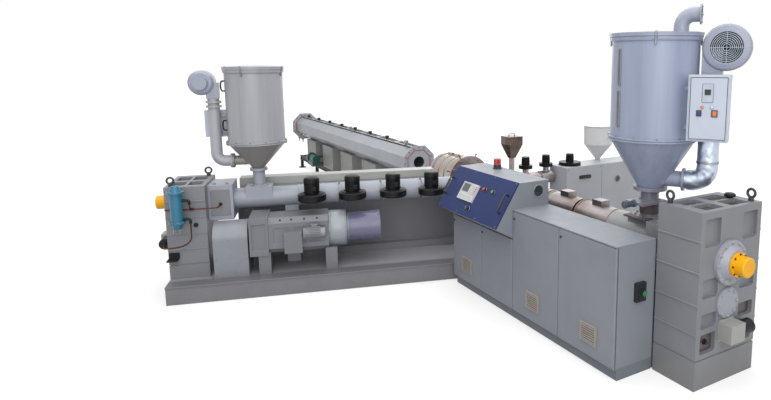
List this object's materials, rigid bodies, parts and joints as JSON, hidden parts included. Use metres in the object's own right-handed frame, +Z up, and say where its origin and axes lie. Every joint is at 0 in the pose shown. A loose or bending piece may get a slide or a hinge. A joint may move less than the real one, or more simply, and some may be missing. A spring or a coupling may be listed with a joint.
{
  "type": "co-extrusion pipe line",
  "caption": "Plastic pipe co-extrusion line: main and side extruders with hopper dryers feed one die head, with a stripe extruder, control console and a long vacuum tank.",
  "frame": {"origin": "on the floor under the die's feed block, where the three screw axes meet", "axes": "+X to the stripe extruder, +Y downstream along the pipe, +Z up"},
  "size_m": [6.1952, 12.022, 3.0338],
  "materials": {
    "machine_paint": "sprayed pale blue-grey machine enamel",
    "cabinet_paint": "textured pale grey powder coat",
    "panel_blue": "blue anodised operator panel",
    "display_plastic": "moulded display housing",
    "control_plastic": "black moulded controls",
    "filter_plastic": "moulded beige filter frame",
    "lamp_red": "red signal lens",
    "cap_yellow": "yellow safety enamel",
    "black_paint": "black enamel",
    "cooler_teal": "teal enamel",
    "dryer_paint": "lilac-grey enamel",
    "foil_pipe": "aluminium foil over insulation",
    "heater_steel": "stainless heater cover sheet",
    "die_steel": "machined steel",
    "trunking_paint": "cream-grey trunking",
    "tank_paint": "blue-grey enamel on the tank",
    "pump_green": "dark green enamel",
    "eye_steel": "forged steel",
    "hopper_white": "white enamel",
    "hopper_steel": "folded stainless sheet"
  },
  "bodies": {
    "line": {"cabinet_shell": "cabinet_paint", "cabinet_switch": "control_plastic", "console_beacon": "lamp_red", "console_controls": "control_plastic", "console_display": "display_plastic", "console_head": "cabinet_paint", "console_panel": "panel_blue", "console_shell": "cabinet_paint", "coupling_guards": "machine_paint", "die_head": "die_steel", "die_stand": "machine_paint", "drive_motors": "machine_paint", "dryer_boxes": "dryer_paint", "dryer_fans": "dryer_paint", "dryer_lids": "dryer_paint", "end_covers": "machine_paint", "lifting_eyes": "eye_steel", "main_barrel": "machine_paint", "main_bed": "machine_paint", "main_dryer_hopper": "dryer_paint", "main_dryer_pipe": "foil_pipe", "main_gearbox": "machine_paint", "main_heater_covers": "heater_steel", "oil_pumps": "machine_paint", "pump_motors": "black_paint", "shaft_caps": "cap_yellow", "side_barrel": "machine_paint", "side_barrel_blowers": "black_paint", "side_bed": "machine_paint", "side_dryer_hopper": "dryer_paint", "side_dryer_pipe": "dryer_paint", "side_gearbox": "machine_paint", "side_heater_covers": "dryer_paint", "side_motor_fan": "machine_paint", "side_motor_sleeve": "dryer_paint", "side_oil_cooler": "cooler_teal", "side_trunking": "trunking_paint", "side_wall": "machine_paint", "steel_hopper": "hopper_steel", "steel_hopper_lid": "hopper_steel", "stripe_barrel": "die_steel", "stripe_blowers": "black_paint", "stripe_cabinet": "cabinet_paint", "stripe_hopper": "hopper_white", "stripe_hopper_lid": "hopper_white", "tank_ends": "tank_paint", "tank_lids": "tank_paint", "tank_pump": "pump_green", "tank_rails": "black_paint", "tank_shell": "tank_paint", "tank_trestles": "tank_paint"},
    "cabinet_door_near": {"cabinet_door_near": "cabinet_paint", "cabinet_filter_near": "filter_plastic"},
    "cabinet_door_far": {"cabinet_door_far": "cabinet_paint", "cabinet_filter_far": "filter_plastic"},
    "console_door_near": {"console_door_near": "cabinet_paint"},
    "console_door_far": {"console_door_far": "cabinet_paint", "console_filter": "filter_plastic"}
  },
  "joints": [
    {"name": "cabinet_door_near_hinge", "type": "hinge", "parent": "line", "child": "cabinet_door_near", "pos_m": [-0.769, -3.105, 0.5], "axis": [0, 0, 1], "range_deg": [0, 110]},
    {"name": "cabinet_door_far_hinge", "type": "hinge", "parent": "line", "child": "cabinet_door_far", "pos_m": [-0.769, -2.39, 0.5], "axis": [0, 0, 1], "range_deg": [0, 110]},
    {"name": "console_door_near_hinge", "type": "hinge", "parent": "line", "child": "console_door_near", "pos_m": [-0.769, -1.681, 0.5], "axis": [0, 0, 1], "range_deg": [0, 110]},
    {"name": "console_door_far_hinge", "type": "hinge", "parent": "line", "child": "console_door_far", "pos_m": [-0.769, -1.0895, 0.5], "axis": [0, 0, 1], "range_deg": [0, 110]}
  ]
}
